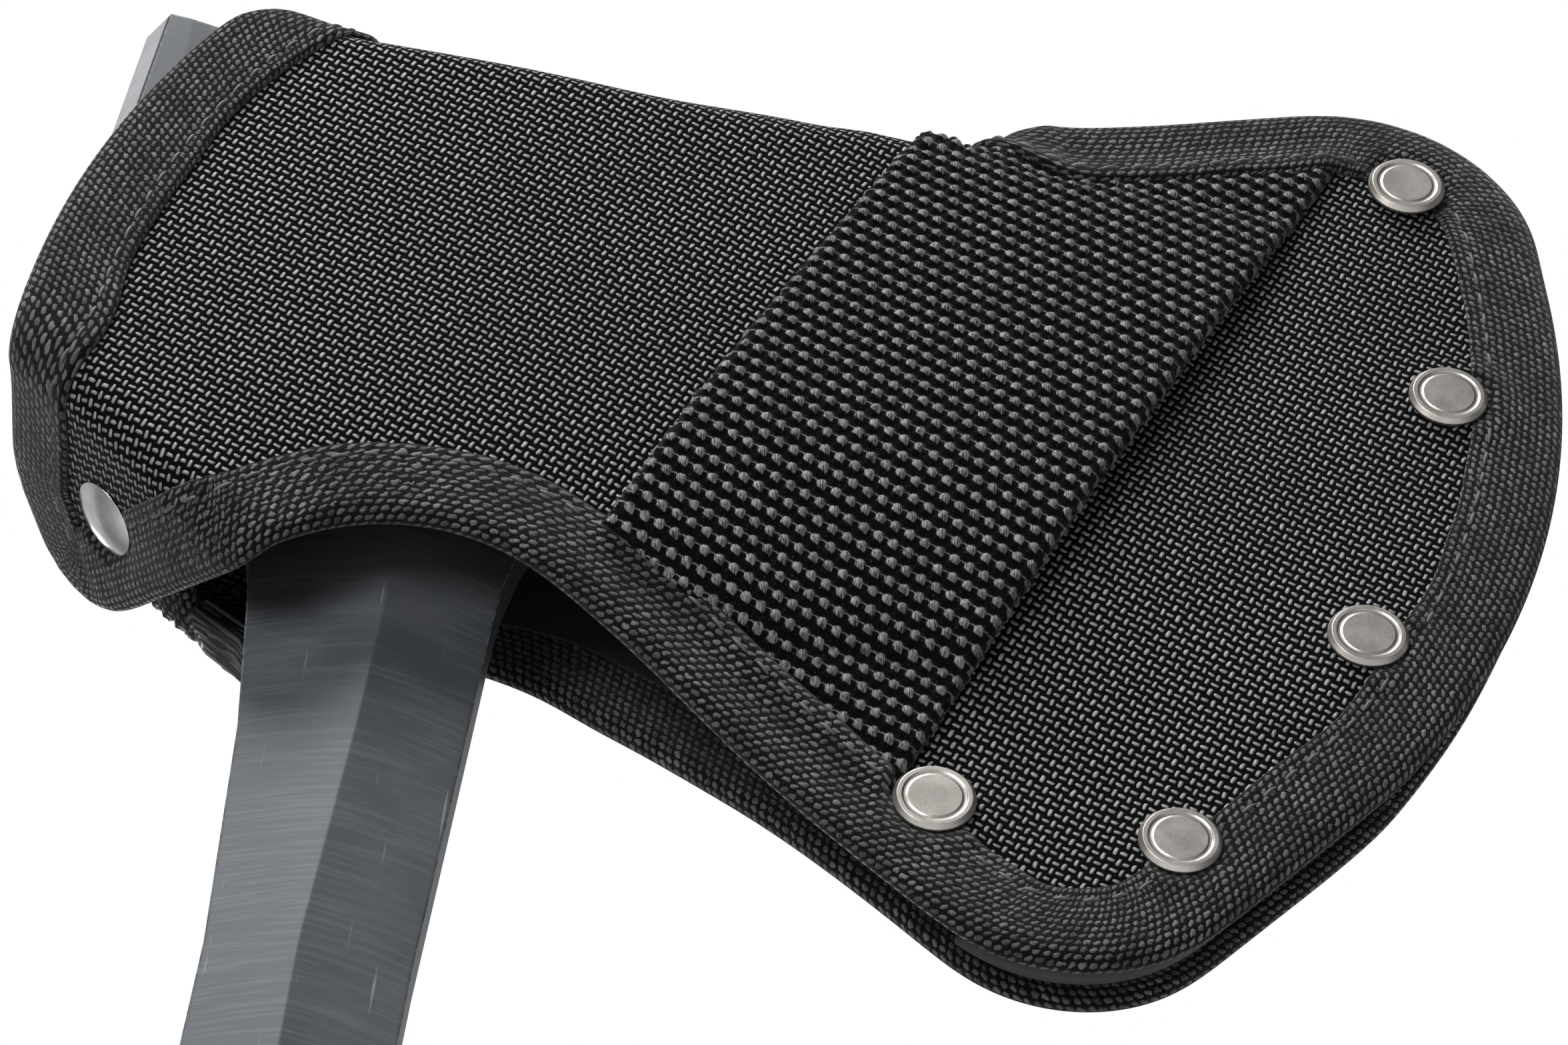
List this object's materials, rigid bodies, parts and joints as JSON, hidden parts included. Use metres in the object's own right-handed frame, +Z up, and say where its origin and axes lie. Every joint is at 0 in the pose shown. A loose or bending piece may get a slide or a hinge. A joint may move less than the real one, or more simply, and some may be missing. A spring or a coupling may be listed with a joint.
{
  "type": "sheathed hatchet",
  "caption": "One-piece forged hatchet with a stacked leather grip, held in a riveted fabric sheath with a press-stud flap and a webbing belt loop.",
  "frame": {"origin": "centre of the flat butt end of the grip", "axes": "+Z up the handle to the head, +X towards the cutting edge, -Y is the side with the belt loop"},
  "size_m": [0.1726, 0.0342, 0.3591],
  "materials": {
    "coated_steel": "satin black coating over ground steel",
    "coated_steel_fittings": "satin black coating",
    "fibre": "matt vulcanised fibre",
    "grip_leather": "lacquered stacked leather",
    "ballistic_nylon": "coarse ballistic weave",
    "liner_board": "matt board",
    "binding_tape": "ribbed grosgrain",
    "webbing": "coarse ribbed webbing",
    "nickel": "brushed nickel plate",
    "polished_nickel": "satin bright nickel plate"
  },
  "bodies": {
    "sheath": {"outer_cover": "ballistic_nylon", "front_liner": "liner_board", "rear_liner": "liner_board", "edge_welt": "liner_board", "front_binding": "binding_tape", "rear_binding": "binding_tape", "mouth_binding": "binding_tape", "belt_loop": "webbing", "rivet_caps": "nickel", "rivet_backs": "nickel"},
    "hatchet": {"axe_forging": "coated_steel", "grip_collar": "coated_steel_fittings", "front_spacers": "fibre", "leather_washers": "grip_leather", "rear_spacers": "fibre", "butt_cap": "coated_steel_fittings", "butt_pins": "nickel"},
    "front_flap": {"front_flap": "ballistic_nylon", "front_flap_binding": "binding_tape", "snap_cap": "polished_nickel", "snap_socket": "polished_nickel"},
    "rear_flap": {"rear_flap": "ballistic_nylon", "rear_flap_binding": "binding_tape", "snap_stud": "polished_nickel", "snap_post": "polished_nickel"}
  },
  "joints": [
    {"name": "draw", "type": "slide", "parent": "sheath", "child": "hatchet", "axis": [-1, 0, 0], "range_m": [0, 0.156]},
    {"name": "front_flap_fold", "type": "hinge", "parent": "sheath", "child": "front_flap", "pos_m": [-0.007, -0.0163, 0.30125], "axis": [-0.5574, 0, 0.8303], "range_deg": [0, 160], "deforming": ["front_flap", "front_flap_binding"]},
    {"name": "rear_flap_fold", "type": "hinge", "parent": "sheath", "child": "rear_flap", "pos_m": [-0.007, 0.0163, 0.30125], "axis": [0.5574, 0, -0.8303], "range_deg": [0, 160], "deforming": ["rear_flap", "rear_flap_binding"]}
  ],
  "couplings": [
    {"joint": "front_flap_fold", "follows": "draw", "rad_per_m": 17.9},
    {"joint": "rear_flap_fold", "follows": "draw", "rad_per_m": 17.9}
  ]
}
